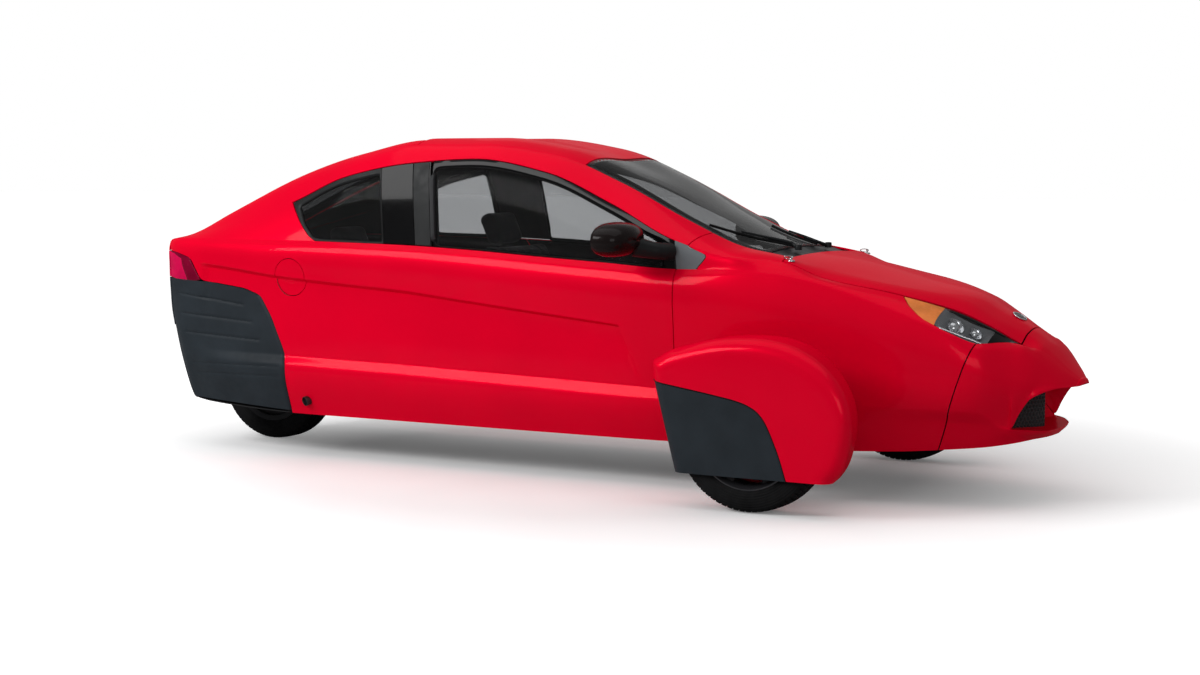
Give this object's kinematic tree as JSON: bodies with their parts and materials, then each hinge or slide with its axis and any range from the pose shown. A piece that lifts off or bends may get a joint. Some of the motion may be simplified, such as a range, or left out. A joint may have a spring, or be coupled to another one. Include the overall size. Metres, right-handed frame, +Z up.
{
  "type": "three wheeled car",
  "caption": "Closed tandem two-seat car with two steered front wheels in pods, one rear wheel, a long side door, front-hinged hood and glass rear hatch.",
  "frame": {"origin": "on the ground under the middle of the car's box", "axes": "+X forward along the car, +Y to the car's left, +Z up"},
  "size_m": [4.09, 1.7, 1.368],
  "materials": {
    "body_paint": "gloss",
    "black_cladding": "matt grained",
    "black_gloss": "gloss",
    "window_glass": "polished",
    "clear_lamp": "polished",
    "red_lamp": "gloss",
    "grille_black": "satin",
    "under_plastic": "matt",
    "chassis_steel": "satin",
    "engine_metal": "cast",
    "seat_fabric": "woven",
    "cabin_trim": "grained",
    "wheel_trim": "satin",
    "tyre_rubber": "matt",
    "rim_black": "satin"
  },
  "bodies": {
    "body": {"floor_pan": "under_plastic", "roof_panel": "body_paint", "side_panel_right": "body_paint", "side_panel_left": "body_paint", "fender_right": "body_paint", "fender_left": "body_paint", "front_bumper": "body_paint", "grille": "grille_black", "cowl": "black_cladding", "windscreen": "window_glass", "headlamps": "clear_lamp", "window_frame_right": "black_gloss", "window_frame_left": "black_gloss", "side_glass": "window_glass", "mirror_right": "black_gloss", "tail_panel": "body_paint", "tail_lamps": "red_lamp", "rear_cladding": "black_cladding", "rear_wheel_well": "under_plastic", "rear_swingarm": "chassis_steel", "suspension_arms": "chassis_steel", "engine_block": "engine_metal", "front_seat": "seat_fabric", "rear_seat": "seat_fabric", "dashboard": "cabin_trim", "steering_column": "cabin_trim"},
    "steering_wheel": {"steering_wheel": "wheel_trim"},
    "hood": {"hood": "body_paint"},
    "rear_hatch": {"rear_hatch": "window_glass"},
    "fuel_flap": {"fuel_flap": "body_paint"},
    "left_door": {"door_shell": "body_paint", "door_frame": "black_gloss", "door_glass": "window_glass", "mirror_left": "black_gloss"},
    "right_pod": {"knuckle_right": "chassis_steel", "pod_right": "body_paint", "pod_panel_right": "black_cladding"},
    "left_pod": {"knuckle_left": "chassis_steel", "pod_left": "body_paint", "pod_panel_left": "black_cladding"},
    "front_right_wheel": {"tyre_front_right": "tyre_rubber", "rim_front_right": "rim_black"},
    "front_left_wheel": {"tyre_front_left": "tyre_rubber", "rim_front_left": "rim_black"},
    "rear_wheel": {"tyre_rear": "tyre_rubber", "rim_rear": "rim_black"}
  },
  "joints": [
    {"name": "steer_right", "type": "hinge", "parent": "body", "child": "right_pod", "pos_m": [1.041, -0.715, 0.292], "axis": [0, 0, 1], "range_deg": [-25, 25]},
    {"name": "steer_left", "type": "hinge", "parent": "body", "child": "left_pod", "pos_m": [1.041, 0.715, 0.292], "axis": [0, 0, 1], "range_deg": [-25, 25]},
    {"name": "steering_wheel_turn", "type": "hinge", "parent": "body", "child": "steering_wheel", "pos_m": [0.35, 0, 0.842], "axis": [-0.9135, 0, 0.4067], "range_deg": [-400, 400]},
    {"name": "spin_front_right", "type": "hinge", "parent": "right_pod", "child": "front_right_wheel", "pos_m": [1.041, -0.76, 0.292], "axis": [0, 1, 0], "continuous": true},
    {"name": "spin_front_left", "type": "hinge", "parent": "left_pod", "child": "front_left_wheel", "pos_m": [1.041, 0.76, 0.292], "axis": [0, 1, 0], "continuous": true},
    {"name": "spin_rear", "type": "hinge", "parent": "body", "child": "rear_wheel", "pos_m": [-1.753, 0, 0.292], "axis": [0, 1, 0], "continuous": true},
    {"name": "door_hinge", "type": "hinge", "parent": "body", "child": "left_door", "pos_m": [0.56, 0.496, 0.62], "axis": [0, 0, -1], "range_deg": [0, 65]},
    {"name": "hood_hinge", "type": "hinge", "parent": "body", "child": "hood", "pos_m": [1.862, 0, 0.645], "axis": [0, 1, 0], "range_deg": [0, 50]},
    {"name": "hatch_hinge", "type": "hinge", "parent": "body", "child": "rear_hatch", "pos_m": [-0.735, 0, 1.366], "axis": [0, 1, 0], "range_deg": [0, 60]},
    {"name": "flap_hinge", "type": "hinge", "parent": "body", "child": "fuel_flap", "pos_m": [-1.222, -0.492, 0.778], "axis": [0, 0, 1], "range_deg": [0, 95]}
  ],
  "couplings": [
    {"joint": "steer_left", "follows": "steer_right", "ratio": 1},
    {"joint": "steering_wheel_turn", "follows": "steer_right", "ratio": 15}
  ]
}
